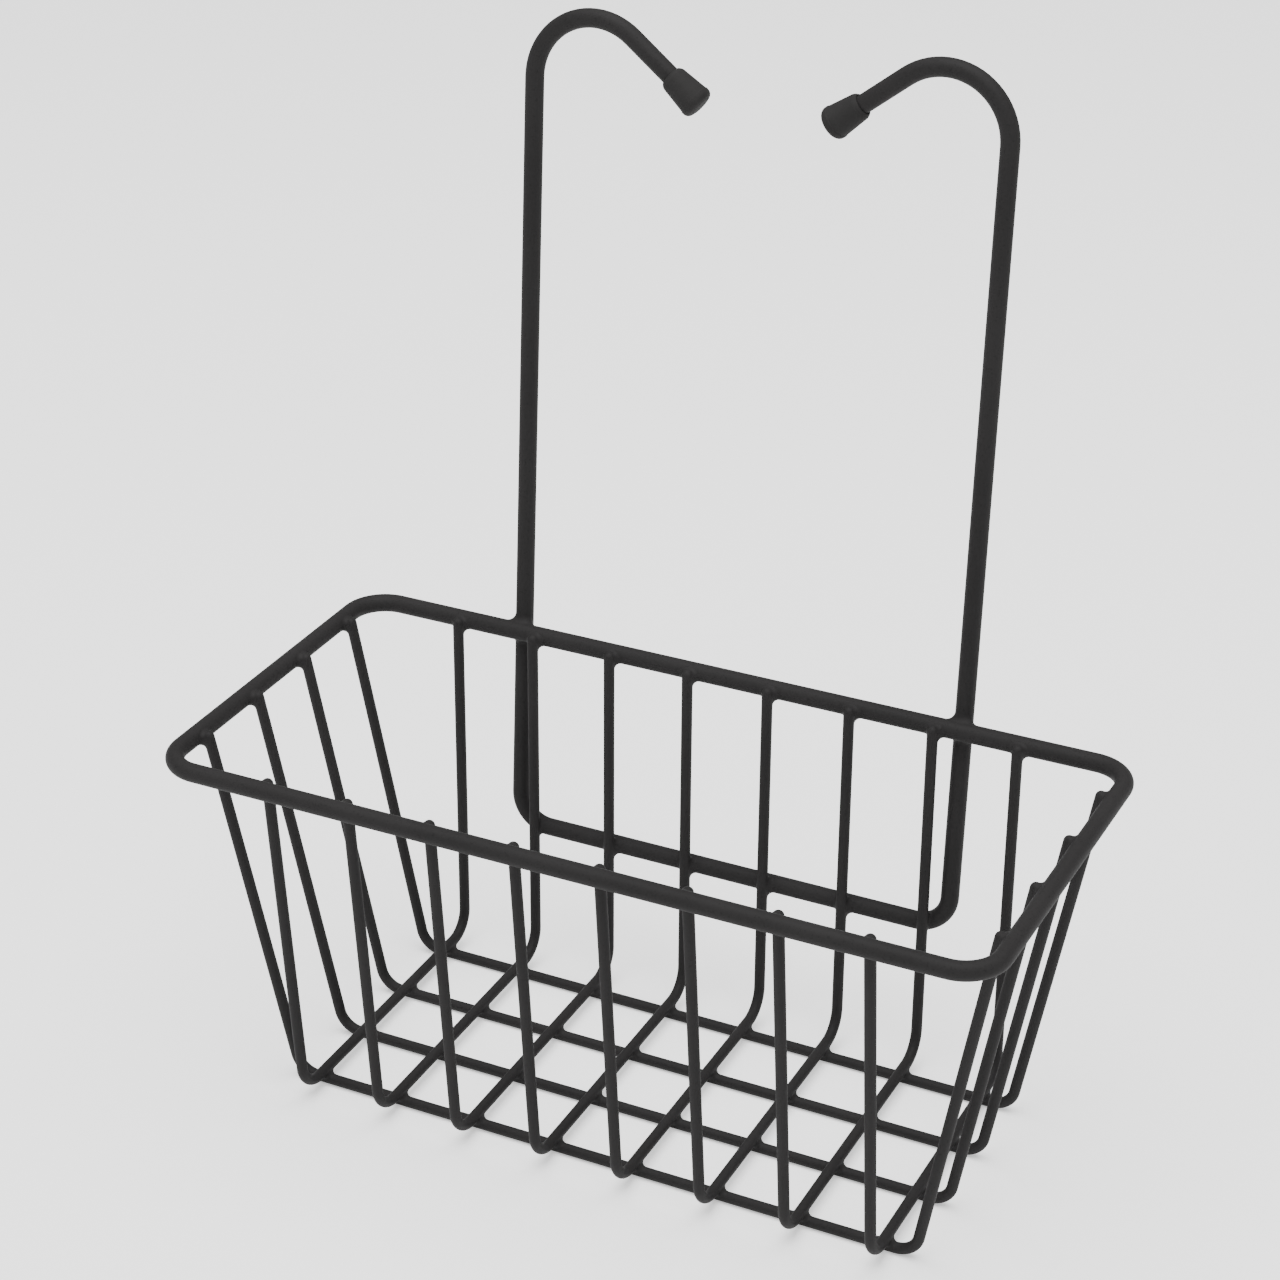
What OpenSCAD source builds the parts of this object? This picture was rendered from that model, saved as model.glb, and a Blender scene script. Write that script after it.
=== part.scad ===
// Shower caddy: a welded wire basket on a bent wire hanger with two hooks.
// Every wire is a solid of its own. Where two wires are welded they sink into
// each other a little, and the thinner one carries the notch for the other.

/* [Rim] */
// Length of the rim over its outside, left to right
rim_length = 250; // [210:1:290]
// Depth of the rim over its outside, front to back
rim_depth = 120; // [105:1:140]
// Bend radius of the rim's corners, to the wire's centre
rim_bend = 11; // [8:0.5:14]
// Diameter over the coating of the wire that the rim and the hanger are bent from
frame_wire = 5.4; // [4:0.2:6.4]

/* [Basket] */
// Height of the basket, from under its floor to the top of its rim
basket_height = 115; // [90:1:140]
// Diameter over the coating of the wires that make the walls and the floor
mesh_wire = 3.25; // [2.5:0.25:3.75]
// How far the floor's front edge is set back from the rim
front_lean = 12.5; // [8:0.5:20]
// How far the floor's back edge is set forward from the rim
back_lean = 5.5; // [4:0.5:9]
// How far the floor is set in from the rim at each end
side_lean = 24.5; // [15:0.5:32]
// Bend radius between the front wall and the floor, to the wire's centre
front_bend = 9; // [5:0.5:11]
// Bend radius between the back wall and the floor, to the wire's centre
back_bend = 8; // [5:0.5:10]
// Bend radius between the end walls and the floor, to the wire's centre
side_bend = 7; // [4:0.5:16]
// How far the wires' ends reach above the centre of the rim
wire_rise = 1.8; // [0.5:0.1:2.5]

/* [Wire spacing] */
// From the rim's end to the outermost cross wire, at centres
cross_margin = 33; // [28:0.5:38]
// From the rim's front to the first long wire, at centres
long_margin_front = 19; // [16:0.5:24]
// From the rim's back to the last long wire, at centres
long_margin_back = 17.5; // [16:0.5:24]
// From the floor's front edge to the first long wire, at centres
floor_margin_front = 11.5; // [11:0.5:16]
// From the floor's back edge to the last long wire, at centres
floor_margin_back = 10.5; // [10:0.5:16]

/* [Hanger] */
// Distance between the two uprights, at centres
hanger_width = 141; // [132:1:150]
// From the rim down to the hanger's bottom bar, at centres
bar_drop = 65; // [50:1:72]
// Bend radius of the hanger's bottom corners, to the wire's centre
hanger_bend = 10; // [8:0.5:12]
// From an upright in to the first cross wire that is welded to the bar, at centres
bar_margin = 6.57; // [6:0.01:9]
// From the rim up to where the hooks begin to bend
upright_height = 167.5; // [120:0.5:220]
// Inside radius of a hook's bend
hook_inside = 16; // [12:0.5:22]
// How steeply a hook's straight end points down, in degrees
hook_droop = 37.5; // [20:0.5:50]
// Bare straight length between a hook's bend and its tip
hook_straight = 15; // [8:0.5:20]

/* [Tips] */
// Length of a tip
tip_length = 11.8; // [10:0.1:14]
// Thickness of a tip's wall at its neck
tip_neck_wall = 1.15; // [0.8:0.05:1.6]
// Length of the slope from a tip's thin lip up to its neck
tip_chamfer = 1.2; // [0.5:0.1:2]
// Thickness of a tip's wall where it is widest
tip_wide_wall = 2.1; // [1.7:0.05:2.6]
// Radius of the edge round a tip's end
tip_edge = 1.8; // [1:0.1:2.4]
// How far the wire goes into a tip
tip_grip = 7.5; // [5:0.1:8]
// Space between the wire's end and the bottom of the tip's hole
tip_end_space = 0.5; // [0.2:0.1:1]
// Clearance on radius between a tip's hole and the wire it is pushed on
tip_clearance = 0; // [0:0.01:0.05]

/* [Welds] */
// How far the hanger and the rim sink into each other
frame_weld = 1.6; // [0.5:0.1:1.9]
// How far the mesh wires and the thick wires sink into each other
wall_weld = 0.8; // [0.3:0.1:1]
// How far the mesh wires sink into each other on the floor
mesh_weld = 0.4; // [0.2:0.05:0.5]

/* [Hidden] */
$fn = 96;

cross_count = 8;
long_count = 4;
// A bend is joined to its straights by a disc across each joint, a hair wider
// than the wire, so that the pieces never have to meet face to face
joint_gap = 0.01;
joint_half = 0.04;
joint_skin = 0.01;
// Wall left at a tip's lip, where the wire goes in
tip_lip = 0.4;
wire_colour = "#343434";
tip_colour = "#2b2b2b";

// The rim's centre line, which everything else is measured from
rim_half_x = (rim_length - frame_wire) / 2;
rim_half_y = (rim_depth - frame_wire) / 2;
rim_z = basket_height - frame_wire / 2;

// The floor: the long wires lie lowest and the cross wires rest on them
long_floor_z = mesh_wire / 2 + joint_skin;
cross_floor_z = long_floor_z + mesh_wire - mesh_weld;
floor_front = front_lean - rim_half_y;
floor_back = rim_half_y - back_lean;
floor_half_x = rim_half_x - side_lean;
wire_top_z = rim_z + wire_rise;

// Welded distance between centres of a mesh wire and a thick wire
wall_gap = (frame_wire + mesh_wire) / 2 - wall_weld;
long_pitch_top = (2 * rim_half_y - long_margin_front - long_margin_back) / (long_count - 1);
long_pitch_floor = (floor_back - floor_front - floor_margin_front - floor_margin_back)
    / (long_count - 1);

// The outermost cross wires take their place from the rim's ends. All the others
// are welded to the hanger's bar and are spread evenly over it.
cross_end_x = rim_half_x - cross_margin;
cross_bar_x = hanger_width / 2 - bar_margin;
function cross_x(i) =
    i == 1 ? -cross_end_x
    : i == cross_count ? cross_end_x
    : cross_bar_x * (2 * (i - 2) / (cross_count - 3) - 1);

// The hanger touches the back of the rim and the back of the rear wires
bar_z = rim_z - bar_drop;
rear_top_y = rim_half_y - wall_gap;
rear_slope = (floor_back - rear_top_y) / (wire_top_z - cross_floor_z);
rear_y_at_bar = rear_top_y + rear_slope * (wire_top_z - bar_z);
hanger_y_at_rim = rim_half_y + frame_wire - frame_weld;
hanger_y_at_bar = rear_y_at_bar + wall_gap;
hanger_lean = atan((hanger_y_at_rim - hanger_y_at_bar) / bar_drop);

// A hook turns from straight up to pointing inwards and down
hook_r = hook_inside + frame_wire / 2;
hook_corner_angle = 90 - hook_droop;
hook_tangent = hook_r / tan(hook_corner_angle / 2);
hook_corner_v = upright_height + hook_tangent;
hook_reach = hook_tangent + hook_straight + tip_grip;
tip_start = hook_tangent + hook_straight;
hook_dir = [cos(hook_droop), -sin(hook_droop)];

// A tip's diameters follow the wire that it is pushed on
tip_bore_r = frame_wire / 2 + tip_clearance;
tip_neck_r = tip_bore_r + tip_neck_wall;
tip_wide_r = tip_bore_r + tip_wide_wall;

// The middle of the overall depth, which the part is centred on. The backmost
// point is on the top of a hook or on the wide end of a tip.
hook_top_v = upright_height + hook_r;
hook_back_y = hanger_y_at_rim + hook_top_v * sin(hanger_lean) + frame_wire / 2;
tip_start_v = hook_corner_v - tip_start * sin(hook_droop);
tip_axis_y = -sin(hook_droop) * sin(hanger_lean);
tip_back_y = hanger_y_at_rim + tip_start_v * sin(hanger_lean)
    + (tip_length - tip_edge) * tip_axis_y + tip_wide_r * sqrt(1 - tip_axis_y ^ 2);
back_y = max(hook_back_y, tip_back_y);
middle_y = (back_y - rim_depth / 2) / 2;

// Unit vector from a to b, and the bend at b between its neighbours a and c
function unit(a, b) = (b - a) / norm(b - a);
function corner_angle(a, b, c) = acos(unit(b, a) * unit(b, c));
function bend_length(a, b, c, r) = r / tan(corner_angle(a, b, c) / 2);
function bend_centre(a, b, c, r) =
    let (m = unit(b, a) + unit(b, c))
    b + m / norm(m) * r / sin(corner_angle(a, b, c) / 2);
function turns_left(a, b, c) = cross(b - a, c - b) > 0;

// A straight piece of wire between two points of a drawing on the XY plane
module straight(a, b, d) {
    step = b - a;
    translate([a.x, a.y, 0])
        rotate([0, 0, atan2(step.y, step.x)])
            rotate([0, 90, 0])
                cylinder(h = norm(step), d = d);
}

// The disc that joins a straight and a bend, at the point p facing the point q
module joint(p, q, d) {
    translate([p.x, p.y, 0])
        rotate([0, 0, atan2(q.y - p.y, q.x - p.x)])
            rotate([0, 90, 0])
                cylinder(h = 2 * joint_half, d = d + 2 * joint_skin, center = true);
}

// A bend of radius r at the point b of a drawing on the XY plane
module bend(a, b, c, r, d) {
    centre = bend_centre(a, b, c, r);
    first = turns_left(a, b, c) ? a : c;
    from = b + unit(b, first) * bend_length(a, b, c, r) - centre;
    translate([centre.x, centre.y, 0])
        rotate([0, 0, atan2(from.y, from.x)])
            rotate_extrude(angle = 180 - corner_angle(a, b, c))
                translate([r, 0])
                    circle(d = d);
}

// A wire bent along points, with a bend radius for each point between its ends
module bent_wire(points, radii, d) {
    last = len(points) - 1;
    // Length of wire that the bend at point i takes from each side of it
    cut = [for (i = [0:last]) i == 0 || i == last ? 0
        : bend_length(points[i - 1], points[i], points[i + 1], radii[i - 1])];
    for (i = [0:last - 1]) {
        along = unit(points[i], points[i + 1]);
        from = points[i] + along * (i == 0 ? 0 : cut[i] + joint_gap);
        to = points[i + 1] - along * (i + 1 == last ? 0 : cut[i + 1] + joint_gap);
        straight(from, to, d);
    }
    for (i = [1:last - 1]) {
        before = unit(points[i], points[i - 1]);
        after = unit(points[i], points[i + 1]);
        bend(points[i - 1], points[i], points[i + 1], radii[i - 1], d);
        joint(points[i] + before * cut[i], points[i], d);
        joint(points[i] + after * cut[i], points[i], d);
    }
}

// The rim's whole loop, before anything is cut from it
module rim_run() {
    flat_x = rim_half_x - rim_bend;
    flat_y = rim_half_y - rim_bend;
    translate([0, 0, rim_z])
        for (side = [-1, 1]) {
            translate([0, side * rim_half_y, 0])
                rotate([0, 90, 0])
                    cylinder(h = 2 * flat_x, d = frame_wire, center = true);
            translate([side * rim_half_x, 0, 0])
                rotate([90, 0, 0])
                    cylinder(h = 2 * flat_y, d = frame_wire, center = true);
            for (turn = [0, 90])
                translate([side * flat_x, turn == 0 ? side * flat_y : -side * flat_y, 0])
                    rotate([0, 0, (side > 0 ? 0 : 180) - turn])
                        rotate_extrude(angle = 90)
                            translate([rim_bend, 0])
                                circle(d = frame_wire);
        }
}

// Places a drawing made on the XY plane into the hanger's leaning plane
module in_hanger_plane() {
    translate([0, hanger_y_at_rim, rim_z])
        rotate([90 - hanger_lean, 0, 0])
            children();
}

// The hanger's whole run, from one hook's end to the other's
module hanger_run() {
    x = hanger_width / 2;
    bottom = -bar_drop / cos(hanger_lean);
    run = [
        [-x + hook_reach * hook_dir.x, hook_corner_v + hook_reach * hook_dir.y],
        [-x, hook_corner_v], [-x, bottom],
        [x, bottom], [x, hook_corner_v],
        [x - hook_reach * hook_dir.x, hook_corner_v + hook_reach * hook_dir.y]
    ];
    in_hanger_plane()
        bent_wire(run, [hook_r, hanger_bend, hanger_bend, hook_r], frame_wire);
}

// Cross wire i, counted from the left: front wall, floor and back wall
module cross_run(i) {
    run = [
        [wall_gap - rim_half_y, wire_top_z], [floor_front, cross_floor_z],
        [floor_back, cross_floor_z], [rear_top_y, wire_top_z]
    ];
    translate([cross_x(i), 0, 0])
        rotate([90, 0, 90])
            bent_wire(run, [front_bend, back_bend], mesh_wire);
}

// Long wire j, counted from the front: left wall, floor and right wall
module long_run(j) {
    top_y = long_margin_front - rim_half_y + (j - 1) * long_pitch_top;
    floor_y = floor_front + floor_margin_front + (j - 1) * long_pitch_floor;
    rise = wire_top_z - long_floor_z;
    lean = atan((floor_y - top_y) / rise);
    top_x = rim_half_x - wall_gap;
    top_v = rise / cos(lean);
    run = [[-top_x, top_v], [-floor_half_x, 0], [floor_half_x, 0], [top_x, top_v]];
    translate([0, floor_y, long_floor_z])
        rotate([90 + lean, 0, 0])
            bent_wire(run, [side_bend, side_bend], mesh_wire);
}

// A tip drawn along Z, with its neck at the bottom and the wire's hole in it
module tip_shape() {
    steps = 8;
    end_round = [for (k = [0:steps])
        let (a = 90 * k / steps)
        [tip_wide_r - tip_edge + tip_edge * cos(a), tip_length - tip_edge + tip_edge * sin(a)]];
    outline = concat([[0, 0], [tip_bore_r + tip_lip, 0], [tip_neck_r, tip_chamfer]],
        end_round, [[0, tip_length]]);
    difference() {
        rotate_extrude()
            polygon(outline);
        translate([0, 0, -1])
            cylinder(h = tip_grip + tip_end_space + 1, r = tip_bore_r);
    }
}

// A tip on the end of one hook: side is -1 on the left and 1 on the right
module hook_tip(side) {
    in_hanger_plane()
        translate([side * (hanger_width / 2 - tip_start * hook_dir.x),
                hook_corner_v + tip_start * hook_dir.y, 0])
            rotate([0, 0, side < 0 ? -hook_droop : 180 + hook_droop])
                rotate([0, 90, 0])
                    tip_shape();
}

// Puts the part's origin under its middle, on the surface that it stands on
module placed() {
    translate([0, -middle_y, 0])
        children();
}

module rim() {
    color(wire_colour)
        placed() rim_run();
}

module hanger() {
    color(wire_colour)
        placed()
            difference() {
                hanger_run();
                rim_run();
            }
}

module cross_wire(i) {
    color(wire_colour)
        placed()
            difference() {
                cross_run(i);
                rim_run();
                hanger_run();
            }
}

module long_wire(j) {
    color(wire_colour)
        placed()
            difference() {
                long_run(j);
                rim_run();
                for (i = [1:cross_count])
                    cross_run(i);
            }
}

module tip(side) {
    color(tip_colour)
        placed() hook_tip(side);
}

rim();
hanger();
cross_wire(1);  // cross_wire_1
cross_wire(2);  // cross_wire_2
cross_wire(3);  // cross_wire_3
cross_wire(4);  // cross_wire_4
cross_wire(5);  // cross_wire_5
cross_wire(6);  // cross_wire_6
cross_wire(7);  // cross_wire_7
cross_wire(8);  // cross_wire_8
long_wire(1);  // long_wire_1
long_wire(2);  // long_wire_2
long_wire(3);  // long_wire_3
long_wire(4);  // long_wire_4
tip(-1);  // tip_left
tip(1);  // tip_right
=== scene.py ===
"""Shower caddy: a powder-coated wire basket on a hooked wire hanger with soft caps on its tips.

Lengths are in metres. +X runs along the basket, +Y towards the hanger at the back, +Z up.
"""

import bpy
import numpy as np
from mathutils import Matrix, Vector


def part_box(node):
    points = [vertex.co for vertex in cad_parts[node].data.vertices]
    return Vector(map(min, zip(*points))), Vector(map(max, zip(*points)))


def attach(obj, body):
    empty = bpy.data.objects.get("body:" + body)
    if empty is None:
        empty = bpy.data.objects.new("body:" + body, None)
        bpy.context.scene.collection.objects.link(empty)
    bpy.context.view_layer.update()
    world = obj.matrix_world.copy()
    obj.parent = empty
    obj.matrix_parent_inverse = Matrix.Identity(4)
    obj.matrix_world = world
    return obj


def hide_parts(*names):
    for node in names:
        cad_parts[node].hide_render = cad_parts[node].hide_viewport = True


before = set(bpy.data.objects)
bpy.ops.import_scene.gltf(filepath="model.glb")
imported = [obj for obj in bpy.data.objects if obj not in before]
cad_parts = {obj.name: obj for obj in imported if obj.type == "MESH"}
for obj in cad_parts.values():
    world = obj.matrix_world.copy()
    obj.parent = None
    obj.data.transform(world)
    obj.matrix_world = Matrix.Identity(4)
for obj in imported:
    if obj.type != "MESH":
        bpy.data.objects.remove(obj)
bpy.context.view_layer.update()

MM = 0.001

# The caddy's own sizes, in millimetres
RIM_LENGTH, RIM_DEPTH, RIM_BEND = 250.0, 120.0, 11.0
FRAME_WIRE, MESH_WIRE = 5.4, 3.25
BASKET_HEIGHT = 115.0
FRONT_LEAN, BACK_LEAN, SIDE_LEAN = 12.5, 5.5, 24.5
FRONT_BEND, BACK_BEND, SIDE_BEND = 9.0, 8.0, 7.0
WIRE_RISE = 1.8
CROSS_MARGIN, CROSS_COUNT = 33.0, 8
LONG_MARGIN_FRONT, LONG_MARGIN_BACK, LONG_COUNT = 19.0, 17.5, 4
FLOOR_MARGIN_FRONT, FLOOR_MARGIN_BACK = 11.5, 10.5
HANGER_WIDTH, BAR_DROP, HANGER_BEND, BAR_MARGIN = 141.0, 65.0, 10.0, 6.57
UPRIGHT_HEIGHT, HOOK_INSIDE, HOOK_DROOP, HOOK_STRAIGHT = 167.5, 16.0, 37.5, 15.0
TIP_LENGTH, TIP_NECK, TIP_WIDE, TIP_EDGE, TIP_CHAMFER, TIP_GRIP = 11.8, 7.7, 9.6, 1.8, 1.2, 7.5
FRAME_WELD, WALL_WELD, MESH_WELD = 1.6, 0.8, 0.4
FLOOR_SKIN = 0.01

# How round the metal and the coating fill each kind of weld
FRAME_FILLET, WALL_FILLET, CORNER_FILLET, MESH_FILLET = 2.4, 1.7, 0.9, 1.5

# How finely the surfaces are divided: the step along a straight run, and the sides round
STEP = 3.0
FRAME_SIDES, MESH_SIDES, WELD_SIDES, TIP_SIDES = 40, 28, 64, 72

X = np.array([1.0, 0.0, 0.0])
Y = np.array([0.0, 1.0, 0.0])
Z = np.array([0.0, 0.0, 1.0])


def unit(v):
    """The vector, or each row of vectors, at length one."""
    return v / np.linalg.norm(v, axis=-1, keepdims=True)


# Places worked out from the sizes
half_x = (RIM_LENGTH - FRAME_WIRE) / 2
half_y = (RIM_DEPTH - FRAME_WIRE) / 2
rim_z = BASKET_HEIGHT - FRAME_WIRE / 2
long_z = MESH_WIRE / 2 + FLOOR_SKIN
cross_z = long_z + MESH_WIRE - MESH_WELD
floor_front = FRONT_LEAN - half_y
floor_back = half_y - BACK_LEAN
floor_x = half_x - SIDE_LEAN
top_z = rim_z + WIRE_RISE
wall_gap = (FRAME_WIRE + MESH_WIRE) / 2 - WALL_WELD
rear_top_y = half_y - wall_gap
rear_slope = (floor_back - rear_top_y) / (top_z - cross_z)
hanger_y = half_y + FRAME_WIRE - FRAME_WELD
bar_y = rear_top_y + rear_slope * (top_z - rim_z + BAR_DROP) + wall_gap
lean = np.arctan((hanger_y - bar_y) / BAR_DROP)
droop = np.radians(HOOK_DROOP)
hook_r = HOOK_INSIDE + FRAME_WIRE / 2
hook_tangent = hook_r / np.tan((np.pi / 2 - droop) / 2)
hook_corner = UPRIGHT_HEIGHT + hook_tangent
cross_end_x, cross_bar_x = half_x - CROSS_MARGIN, HANGER_WIDTH / 2 - BAR_MARGIN
cross_inner_x = np.linspace(-cross_bar_x, cross_bar_x, CROSS_COUNT - 2)
cross_x = np.concatenate([[-cross_end_x], cross_inner_x, [cross_end_x]])
long_top_y = np.linspace(LONG_MARGIN_FRONT - half_y, half_y - LONG_MARGIN_BACK, LONG_COUNT)
long_floor_y = np.linspace(floor_front + FLOOR_MARGIN_FRONT, floor_back - FLOOR_MARGIN_BACK, LONG_COUNT)
hanger_up = np.array([0.0, np.sin(lean), np.cos(lean)])
hanger_origin = np.array([0.0, hanger_y, rim_z])

# The frame's origin is under the middle of the overall depth
rim_low, rim_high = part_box("rim")
SHIFT = np.array([0.0, (rim_low.y + rim_high.y) / 2 / MM, 0.0])


def centre_line(points, radii, step, closed=False):
    """A wire's centre line: straight runs between the points, and at each bend an arc
    of that radius that leaves both runs as a tangent, with a point every step or so."""
    points = [np.asarray(p, float) for p in points]
    count = len(points)
    corners = range(count) if closed else range(1, count - 1)
    arcs = []
    for k, radius in zip(corners, radii):
        corner = points[k]
        back, on = unit(points[k - 1] - corner), unit(points[(k + 1) % count] - corner)
        inner = np.arccos(np.clip(back @ on, -1, 1))
        centre = corner + unit(back + on) * radius / np.sin(inner / 2)
        start = (corner + back * radius / np.tan(inner / 2) - centre) / radius
        end = (corner + on * radius / np.tan(inner / 2) - centre) / radius
        sweep = np.pi - inner
        turn = np.linspace(0, sweep, max(9, int(np.degrees(sweep) / 5)))[:, None]
        arcs.append(centre + radius * (start * np.sin(sweep - turn) + end * np.sin(turn)) / np.sin(sweep))
    if closed:
        runs = [np.concatenate([a[-1:], b[:1]]) for a, b in zip(arcs, arcs[1:] + arcs[:1])]
        pieces = [p for pair in zip(arcs, runs) for p in pair]
    else:
        ends = [points[0][None]] + arcs + [points[-1][None]]
        runs = [np.concatenate([a[-1:], b[:1]]) for a, b in zip(ends, ends[1:])]
        pieces = [runs[0]] + [p for pair in zip(arcs, runs[1:]) for p in pair]
    line = []
    for piece in pieces:
        if len(piece) == 2:
            n = max(2, int(np.linalg.norm(piece[1] - piece[0]) / step) + 1)
            piece = piece[0] + np.linspace(0, 1, n)[:, None] * (piece[1] - piece[0])
        line.append(piece[:-1])
    if not closed:
        line.append(points[-1][None])
    return np.concatenate(line)


def shell(grid, loop=False):
    """Vertices and faces of a surface given as a grid of points: rows along it, columns
    round it. The columns close on themselves. The rows do too if it is a loop, and
    otherwise each end is closed by a fan to its ring's middle."""
    rows, cols, _ = grid.shape
    index = np.arange(rows * cols).reshape(rows, cols)
    nxt = np.roll(index, -1, 1)
    if loop:
        a, b, c, d = index, nxt, np.roll(nxt, -1, 0), np.roll(index, -1, 0)
    else:
        a, b, c, d = index[:-1], nxt[:-1], nxt[1:], index[1:]
    quads = np.stack([a, b, c, d], -1).reshape(-1, 4)
    verts, tris = grid.reshape(-1, 3), np.zeros((0, 3), int)
    if not loop:
        first, last = rows * cols, rows * cols + 1
        verts = np.vstack([verts, grid[0].mean(0), grid[-1].mean(0)])
        tris = np.vstack([
            np.stack([nxt[0], index[0], np.full(cols, first)], -1),
            np.stack([index[-1], nxt[-1], np.full(cols, last)], -1)])
    # Signed volume: the surface is turned over if it comes out negative
    p = verts
    six = np.einsum("ij,ij->", p[quads[:, 0]], np.cross(p[quads[:, 1]], p[quads[:, 2]]))
    six += np.einsum("ij,ij->", p[quads[:, 0]], np.cross(p[quads[:, 2]], p[quads[:, 3]]))
    if len(tris):
        six += np.einsum("ij,ij->", p[tris[:, 0]], np.cross(p[tris[:, 1]], p[tris[:, 2]]))
    if six < 0:
        quads, tris = quads[:, ::-1], tris[:, ::-1]
    return verts, quads, tris


def piece(name, shells, material, slot, normals=None):
    """One object from one or more closed shells, shaded smooth, riding on the root."""
    verts, faces, base = [], [], 0
    for v, quads, tris in shells:
        verts.append(v)
        faces += (quads + base).tolist() + (tris + base).tolist()
        base += len(v)
    mesh = bpy.data.meshes.new(name)
    mesh.from_pydata((np.vstack(verts) + SHIFT) * MM, [], faces)
    mesh.polygons.foreach_set("use_smooth", np.ones(len(mesh.polygons), bool))
    mesh.validate()
    mesh.update()
    if normals is not None:
        mesh.normals_split_custom_set_from_vertices(np.vstack(normals).tolist())
    obj = bpy.data.objects.new(name, mesh)
    bpy.context.scene.collection.objects.link(obj)
    mesh.materials.append(material)
    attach(obj, "root")
    return obj


def tube(line, across, radius, sides, loop=False):
    """A round wire: a circle carried along its centre line, square to it. across is the
    normal of the plane that the line lies in. A free end is a half ball round the line's
    end, as the coating rounds over a cut."""
    if loop:
        along = unit(np.roll(line, -1, 0) - np.roll(line, 1, 0))
        size = np.full(len(line), radius)
    else:
        along = unit(np.gradient(line, axis=0))
        along[0], along[-1] = unit(line[1] - line[0]), unit(line[-1] - line[-2])
        lift = np.radians(np.array([15, 30, 45, 60, 73, 84]))
        head = line[0] - along[0] * radius * np.sin(lift[::-1])[:, None]
        tail = line[-1] + along[-1] * radius * np.sin(lift)[:, None]
        line = np.vstack([head, line, tail])
        size = radius * np.concatenate([np.cos(lift[::-1]), np.ones(len(along)), np.cos(lift)])
        along = np.vstack([np.repeat(along[:1], 6, 0), along, np.repeat(along[-1:], 6, 0)])
    side = np.cross(across, along)
    turn = np.linspace(0, 2 * np.pi, sides, endpoint=False)[None, :, None]
    ring = np.cos(turn) * side[:, None] + np.sin(turn) * across
    return shell(line[:, None] + size[:, None, None] * ring, loop)


def nearest(points, line):
    """For each point, the nearest point of a line made of straight steps."""
    start, step = line[:-1], np.diff(line, axis=0)
    along = np.einsum("pij,ij->pi", points[:, None] - start, step) / (step * step).sum(-1)
    feet = start + np.clip(along, 0, 1)[..., None] * step
    best = np.linalg.norm(points[:, None] - feet, axis=-1).argmin(1)
    return feet[np.arange(len(points)), best]


def weld(point, axis, size_a, line, size_b, fillet):
    """The fillet where a wire lies on a straight one: the surface that a ball leaves as it
    rolls round the crossing and touches both. point and axis give the straight wire's
    axis, line is the other's centre line. The ball's centre stays on a tube round the
    straight wire, and in each direction from the crossing it is as far out as puts it
    a ball's and a wire's radius from the line, found by halving. The surface is the arc
    between its two points of touch. Two cones inside the wires close it."""
    axis = unit(axis)
    # The crossing: the point of the line that is nearest to the straight wire's axis
    offset = line - point
    offset -= (offset @ axis)[:, None] * axis
    pick = np.linalg.norm(offset, axis=1).argmin()
    around = line[max(pick - 1, 0):pick + 2]
    fine = np.concatenate([u + np.linspace(0, 1, 60)[:, None] * (v - u) for u, v in zip(around, around[1:])])
    offset = fine - point
    offset -= (offset @ axis)[:, None] * axis
    best = np.linalg.norm(offset, axis=1).argmin()
    up, foot_b = unit(offset[best]), fine[best]
    foot_a = foot_b - offset[best]
    side = np.cross(axis, up)
    tube_r = size_a + fillet
    turn = np.linspace(0, 2 * np.pi, WELD_SIDES, endpoint=False)

    def ball_at(out):
        """Centres that far out from the crossing, measured over the tube."""
        angle = out * np.sin(turn) / tube_r
        return (foot_a + (out * np.cos(turn))[:, None] * axis
                + tube_r * (np.cos(angle)[:, None] * up + np.sin(angle)[:, None] * side))

    # The ball is clear of the line within 2.6 radii of the tube, and 32 halvings find where
    low, high = np.zeros(WELD_SIDES), np.full(WELD_SIDES, 2.6 * tube_r)
    for _ in range(32):
        half = (low + high) / 2
        ball = ball_at(half)
        inside = np.linalg.norm(ball - nearest(ball, line), axis=1) < size_b + fillet
        low, high = np.where(inside, half, low), np.where(inside, high, half)
    axis_a = foot_a + ((ball - foot_a) @ axis)[:, None] * axis
    to_a, to_b = unit(axis_a - ball), unit(nearest(ball, line) - ball)
    wide = np.arccos(np.clip((to_a * to_b).sum(-1), -1, 1))[:, None]
    part = np.linspace(0, 1, 13)[:, None, None]
    ray = (to_a * np.sin((1 - part) * wide) + to_b * np.sin(part * wide)) / np.sin(wide)
    grid = ball + fillet * ray
    inner_a = foot_a + (grid[0] - foot_a) * 0.5
    inner_b = foot_b + (grid[-1] - foot_b) * 0.5
    shape = shell(np.concatenate([inner_a[None], grid, inner_b[None]]))
    normals = np.concatenate([-ray[:1], -ray, -ray[-1:]]).reshape(-1, 3)
    return shape, np.vstack([normals, up, -up])


def turned(outline, base, along):
    """A lathe-turned form: the outline, as distance along and radius, swept round."""
    across = unit(np.cross(along, Y))
    side = np.cross(along, across)
    turn = np.linspace(0, 2 * np.pi, TIP_SIDES, endpoint=False)[None, :, None]
    ring = np.cos(turn) * across + np.sin(turn) * side
    return shell(base + outline[:, :1, None] * along + outline[:, 1:, None] * ring)


# ---------------------------------------------------------------- materials

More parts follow.
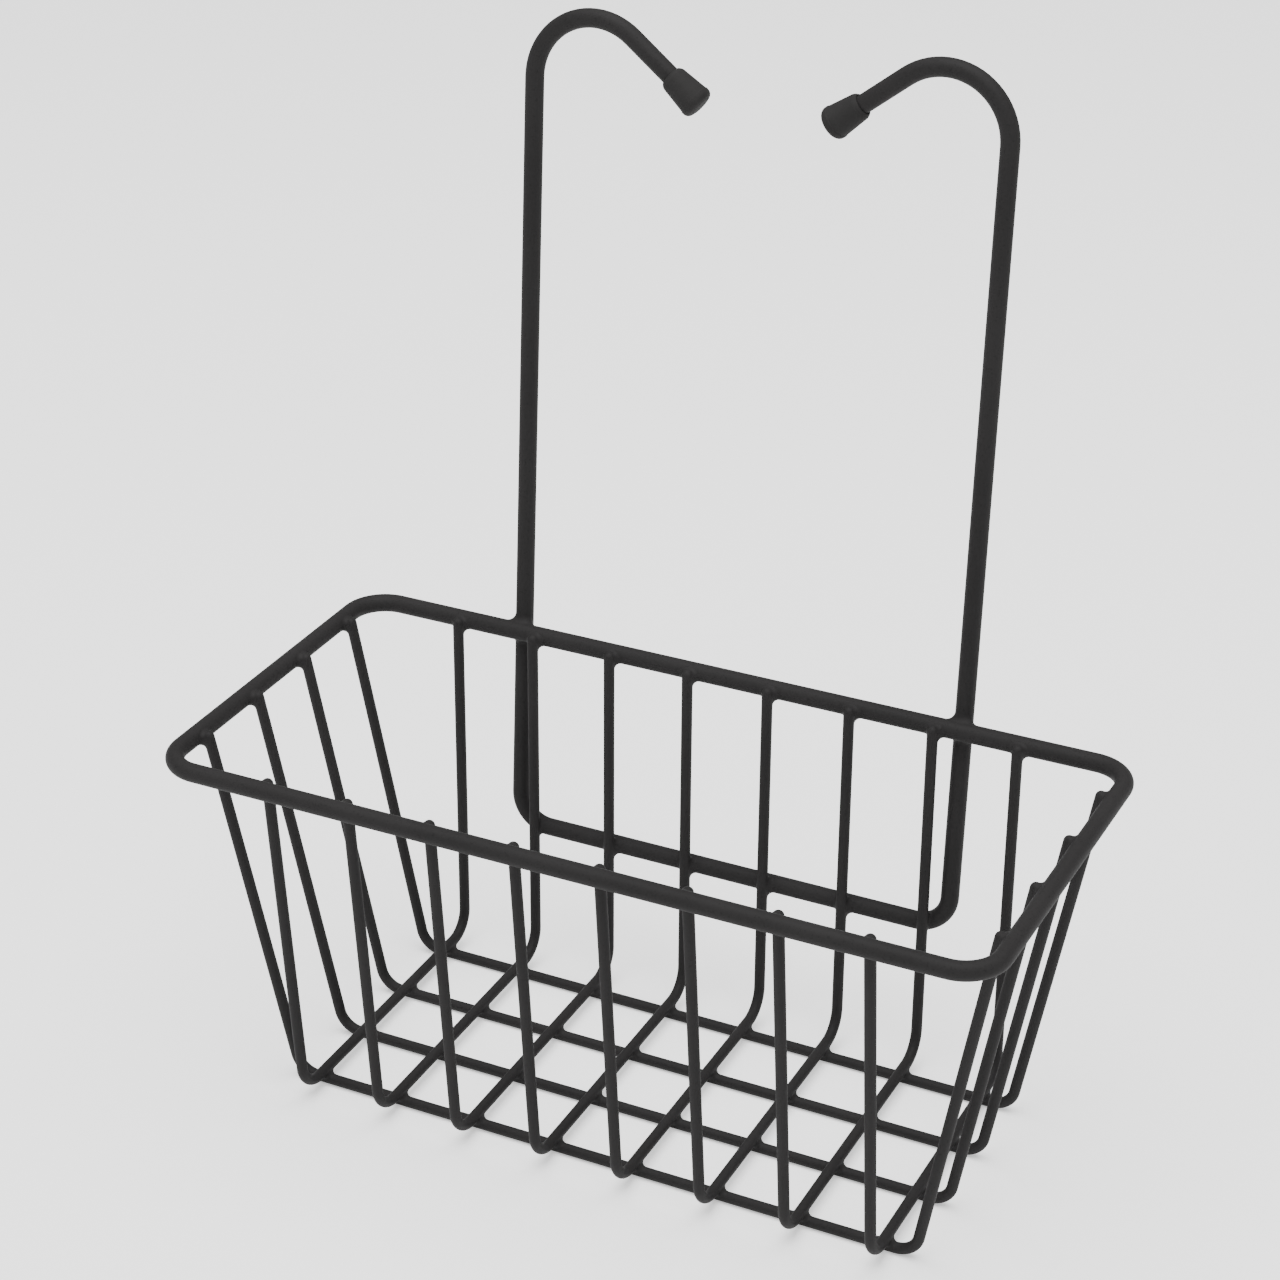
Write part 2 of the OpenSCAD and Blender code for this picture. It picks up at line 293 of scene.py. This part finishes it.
class Value:
    """A socket of a material. Arithmetic on it adds Math nodes."""

    def __init__(self, finish, socket):
        self.finish, self.socket = finish, socket

    def _math(self, operation, first, second):
        return self.finish.node("ShaderNodeMath", {"operation": operation}, {0: first, 1: second})

    def __add__(self, other):
        return self._math("ADD", self, other)

    def __radd__(self, other):
        return self._math("ADD", other, self)

    def __sub__(self, other):
        return self._math("SUBTRACT", self, other)

    def __rsub__(self, other):
        return self._math("SUBTRACT", other, self)

    def __mul__(self, other):
        return self._math("MULTIPLY", self, other)

    def __rmul__(self, other):
        return self._math("MULTIPLY", other, self)

    def __pow__(self, other):
        return self._math("POWER", self, other)

    def above(self, low, high):
        """0 below low, 1 above high, and a smooth step between."""
        return self.finish.node(
            "ShaderNodeMapRange", {"interpolation_type": "SMOOTHSTEP"},
            {"Value": self, "From Min": low, "From Max": high})


class Finish:
    """A material with one Principled shader. Constant settings go on its sockets."""

    def __init__(self, name, **settings):
        self.material = bpy.data.materials.new(name)
        self.material.use_nodes = True
        self.tree = self.material.node_tree
        self.tree.nodes.clear()
        self.shader = self.tree.nodes.new("ShaderNodeBsdfPrincipled")
        out = self.tree.nodes.new("ShaderNodeOutputMaterial")
        self.tree.links.new(self.shader.outputs[0], out.inputs["Surface"])
        self.set(self.shader, {k.replace("_", " "): v for k, v in settings.items()})
        self.place = self.node("ShaderNodeTexCoord", output="Object")

    def set(self, node, inputs):
        for key, value in inputs.items():
            if isinstance(value, Value):
                self.tree.links.new(value.socket, node.inputs[key])
            else:
                node.inputs[key].default_value = value

    def node(self, kind, settings=None, inputs=None, output=0):
        """Any node: its settings first, then the values or links of its sockets."""
        node = self.tree.nodes.new(kind)
        for key, value in (settings or {}).items():
            setattr(node, key, value)
        self.set(node, inputs or {})
        return Value(self, node.outputs[output])

    def noise(self, size, detail=2.0, rough=0.5, output="Fac"):
        """Noise whose lumps are about that size in metres."""
        return self.node(
            "ShaderNodeTexNoise", {},
            {"Vector": self.place, "Scale": 1.0 / size, "Detail": detail, "Roughness": rough}, output)

    def mix(self, factor, first, second):
        """A colour between two colours."""
        return self.node(
            "ShaderNodeMix", {"data_type": "RGBA"}, {0: factor, 6: first, 7: second}, 2)

    def bump(self, height, distance, strength=1.0):
        """A Normal from a height of 0 to 1 over that distance in metres."""
        return self.node(
            "ShaderNodeBump", {}, {"Height": height, "Distance": distance, "Strength": strength})

    def finish(self, **inputs):
        self.set(self.shader, {k.replace("_", " "): v for k, v in inputs.items()})
        return self.material


def powder_coat():
    """Matte black powder coat: fine orange peel over slow lumps where the powder melted
    thicker, grey that drifts a little, and tiny pinholes that scatter less light."""
    f = Finish("powder_coat", IOR=1.5, Specular_IOR_Level=0.08)
    peel = f.noise(0.0009, 3.0, 0.55)
    lumps = f.noise(0.004, 2.0)
    grain = f.noise(0.00022, 1.0)
    drift = f.noise(0.035, 2.0)
    pits = 1 - f.noise(0.0006, 0.0).above(0.22, 0.34)
    tone = drift * 0.5 + peel * 0.3 + grain * 0.2
    colour = f.mix(tone.above(0.3, 0.7), (0.0146, 0.014, 0.0141, 1), (0.0198, 0.0189, 0.019, 1))
    colour = f.mix(pits * 0.4, colour, (0.009, 0.009, 0.009, 1))
    rough = 0.5 + peel * 0.14 + drift * 0.1
    height = lumps * 0.6 + peel * 0.32 + grain * 0.08 - pits * 0.1
    return f.finish(Base_Color=colour, Roughness=rough, Normal=f.bump(height, 0.0001))


def soft_cap():
    """Moulded soft cap: fine spark-eroded grain and a paler bloom in slow patches."""
    f = Finish("soft_cap", IOR=1.5, Specular_IOR_Level=0.08)
    grain = f.noise(0.00035, 2.0, 0.6)
    bloom = f.noise(0.006, 3.0, 0.6)
    colour = f.mix(bloom.above(0.35, 0.75), (0.0185, 0.0179, 0.0178, 1), (0.0212, 0.0205, 0.0204, 1))
    rough = 0.66 + grain * 0.16
    return f.finish(Base_Color=colour, Roughness=rough, Normal=f.bump(grain, 0.00005))


def floor_paint():
    """Pale matte floor with barely visible mottling."""
    f = Finish("floor_paint", Emission_Color=(1, 1, 1, 1), Emission_Strength=0.55)
    mottle = f.noise(0.3, 3.0)
    colour = f.mix(mottle, (0.9, 0.9, 0.9, 1), (0.93, 0.93, 0.93, 1))
    return f.finish(Base_Color=colour, Roughness=0.9 + 0.05 * mottle)


COAT = powder_coat()
CAP = soft_cap()

# ---------------------------------------------------------------- wires

frame_r, mesh_r = FRAME_WIRE / 2, MESH_WIRE / 2

corners = [[sx * half_x, sy * half_y, rim_z] for sx, sy in ((-1, -1), (1, -1), (1, 1), (-1, 1))]
rim_line = centre_line(corners, [RIM_BEND] * 4, STEP, closed=True)
rim = piece("rim_wire", [tube(rim_line, Z, frame_r, FRAME_SIDES, loop=True)], COAT, "coated_wire")
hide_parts("rim")


def on_hanger(x, up):
    """A point of the hanger's leaning plane, at x and that far up from the rim."""
    return hanger_origin + x * X + up * hanger_up


hook_reach = hook_tangent + HOOK_STRAIGHT + TIP_GRIP
bar_up = -BAR_DROP / np.cos(lean)
edge = HANGER_WIDTH / 2
hook_end = (edge - hook_reach * np.cos(droop), hook_corner - hook_reach * np.sin(droop))
run = [on_hanger(-hook_end[0], hook_end[1]), on_hanger(-edge, hook_corner), on_hanger(-edge, bar_up),
       on_hanger(edge, bar_up), on_hanger(edge, hook_corner), on_hanger(*hook_end)]
hanger_line = centre_line(run, [hook_r, HANGER_BEND, HANGER_BEND, hook_r], STEP)
hanger_tube = tube(hanger_line, np.cross(X, hanger_up), frame_r, FRAME_SIDES)
hanger = piece("hanger_wire", [hanger_tube], COAT, "coated_wire")
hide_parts("hanger")


def trimmed(run, radius):
    """A run of points whose two ends are drawn in by a radius, which the round ends add back."""
    run = [np.asarray(p, float) for p in run]
    run[0] = run[0] + unit(run[1] - run[0]) * radius
    run[-1] = run[-1] + unit(run[-2] - run[-1]) * radius
    return run


cross_lines = []
for i, x in enumerate(cross_x):
    run = [[x, wall_gap - half_y, top_z], [x, floor_front, cross_z],
           [x, floor_back, cross_z], [x, rear_top_y, top_z]]
    line = centre_line(trimmed(run, mesh_r), [FRONT_BEND, BACK_BEND], STEP)
    cross_lines.append(line)
    wire_tube = tube(line, X, mesh_r, MESH_SIDES)
    wire = piece(f"cross_wire_coated_{i + 1}", [wire_tube], COAT, "coated_wire")
    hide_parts(f"cross_wire_{i + 1}")

top_x = half_x - wall_gap
long_lines = []
for j in range(LONG_COUNT):
    run = [[-top_x, long_top_y[j], top_z], [-floor_x, long_floor_y[j], long_z],
           [floor_x, long_floor_y[j], long_z], [top_x, long_top_y[j], top_z]]
    up = unit(np.array([0, long_top_y[j] - long_floor_y[j], top_z - long_z]))
    line = centre_line(trimmed(run, mesh_r), [SIDE_BEND, SIDE_BEND], STEP)
    long_lines.append(line)
    wire_tube = tube(line, np.cross(X, up), mesh_r, MESH_SIDES)
    wire = piece(f"long_wire_coated_{j + 1}", [wire_tube], COAT, "coated_wire")
    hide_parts(f"long_wire_{j + 1}")

# ---------------------------------------------------------------- welds


def half_line(line, along, sign):
    """The half of a centre line that lies on one side of the middle of its extent."""
    value = line @ along
    return line[sign * (value - (value.max() + value.min()) / 2) >= 0]


def weld_group(name, joints):
    """One piece from the fillets of a group of welds."""
    made = [weld(*joint) for joint in joints]
    return piece(name, [m[0] for m in made], COAT, "coated_wire", [m[1] for m in made])


for side, name in ((-1, "front"), (1, "back")):
    weld_group(f"rim_{name}_welds", [
        (np.array([0, side * half_y, rim_z]), X, frame_r, half_line(line, Y, side), mesh_r, WALL_FILLET)
        for line in cross_lines])
weld_group("rim_end_welds", [
    (np.array([side * half_x, 0, rim_z]), Y, frame_r, half_line(line, X, side), mesh_r, WALL_FILLET)
    for line in long_lines for side in (-1, 1)])
weld_group("floor_welds", [
    (np.array([0, y, long_z]), X, mesh_r, line[line[:, 2] < cross_z + 3], mesh_r, MESH_FILLET)
    for y in long_floor_y for line in cross_lines])
weld_group("upright_welds", [
    (np.array([0, half_y, rim_z]), X, frame_r, half_line(hanger_line, X, side), frame_r, FRAME_FILLET)
    for side in (-1, 1)])
back_wall = np.array([0, floor_back - rear_top_y, cross_z - top_z])
bar_line = hanger_line[hanger_line[:, 2] < rim_z - BAR_DROP + 2 * HANGER_BEND]
weld_group("bar_welds", [
    (np.array([x, rear_top_y, top_z]), back_wall, mesh_r, bar_line, frame_r,
     WALL_FILLET if abs(x) < edge - HANGER_BEND else CORNER_FILLET)
    for x in cross_x if abs(x) < edge])

# ---------------------------------------------------------------- tips

# The outline, as distance along the tip and radius: the mouth's lip, the slope up to
# the neck, a faint parting step, the rounded edge and a slightly domed end
round_over = np.radians(np.linspace(0, 80, 9))
dome = np.radians(np.linspace(0, 88, 8))
mouth_r = frame_r + 0.05
tip_start = hook_tangent + HOOK_STRAIGHT
edge_r = TIP_WIDE / 2 - TIP_EDGE
outline = np.vstack([
    [[TIP_CHAMFER + 0.6, mouth_r - 0.3], [0.25, mouth_r], [0.05, mouth_r + 0.12], [0.0, mouth_r + 0.28]],
    [[0.12, mouth_r + 0.42], [TIP_CHAMFER * 0.55, (mouth_r + 0.42 + TIP_NECK / 2) / 2 + 0.08],
     [TIP_CHAMFER, TIP_NECK / 2 - 0.03], [TIP_CHAMFER + 0.25, TIP_NECK / 2 + 0.02]],
    [[9.0, TIP_WIDE / 2 - 0.14], [9.2, TIP_WIDE / 2 - 0.1],
     [9.3, TIP_WIDE / 2 + 0.02], [9.5, TIP_WIDE / 2 + 0.03]],
    np.stack([TIP_LENGTH - TIP_EDGE + (TIP_EDGE - 0.1) * np.sin(round_over),
              edge_r + TIP_EDGE * np.cos(round_over)], -1),
    np.stack([TIP_LENGTH - 0.1 + 0.25 * np.sin(dome), edge_r * np.cos(dome) * 1.05], -1)])
for s, side in ((-1, "left"), (1, "right")):
    along = -s * np.cos(droop) * X - np.sin(droop) * hanger_up
    base = on_hanger(s * (edge - tip_start * np.cos(droop)), hook_corner - tip_start * np.sin(droop))
    tip = piece(f"soft_tip_{side}", [turned(outline, base, along)], CAP, "tip_rubber")
    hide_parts(f"tip_{side}")

# ---------------------------------------------------------------- floor, light, camera

plane = bpy.data.meshes.new("floor")
reach = 8.0
floor_corners = [(-reach, -reach, 0), (reach, -reach, 0), (reach, reach, 0), (-reach, reach, 0)]
plane.from_pydata(floor_corners, [], [(0, 1, 2, 3)])
floor = bpy.data.objects.new("floor", plane)
bpy.context.scene.collection.objects.link(floor)
plane.materials.append(floor_paint())

world = bpy.data.worlds.new("studio")
world.use_nodes = True
world.node_tree.nodes["Background"].inputs[0].default_value = (1.0, 1.0, 1.0, 1)
world.node_tree.nodes["Background"].inputs[1].default_value = 0.55
bpy.context.scene.world = world


def softbox(name, place, aim, size, power):
    """A square area light at a place, facing a point."""
    lamp = bpy.data.lights.new(name, "AREA")
    lamp.shape = "SQUARE"
    lamp.size = size
    lamp.energy = power
    obj = bpy.data.objects.new(name, lamp)
    obj.location = place
    obj.rotation_euler = (Vector(aim) - Vector(place)).to_track_quat("-Z", "Y").to_euler()
    bpy.context.scene.collection.objects.link(obj)


softbox("overhead", (0.1, -0.3, 2.5), (0, 0, 0.1), 2.4, 135)
softbox("front_left", (-1.3, -1.6, 1.2), (0, 0, 0.12), 1.2, 3)

# The camera looks down from the front right
AIM = np.array([-0.0088, 0.0051, 0.1434])
DISTANCE, AZIMUTH, ELEVATION, ROLL = 0.868, 26.25, 27.51, -0.155
lens = bpy.data.cameras.new("camera")
lens.sensor_width = 36.0
lens.lens = 88.1
lens.clip_end = 50.0
camera = bpy.data.objects.new("camera", lens)
bpy.context.scene.collection.objects.link(camera)
az, el = np.radians(AZIMUTH), np.radians(ELEVATION)
outward = np.array([np.sin(az) * np.cos(el), -np.cos(az) * np.cos(el), np.sin(el)])
right = np.array([np.cos(az), np.sin(az), 0.0])
above = np.cross(outward, right)
facing = Matrix(np.column_stack([right, above, outward]).tolist())
facing = facing @ Matrix.Rotation(np.radians(ROLL), 3, "Z")
camera.matrix_world = Matrix.Translation(Vector(AIM + DISTANCE * outward)) @ facing.to_4x4()
bpy.context.scene.camera = camera
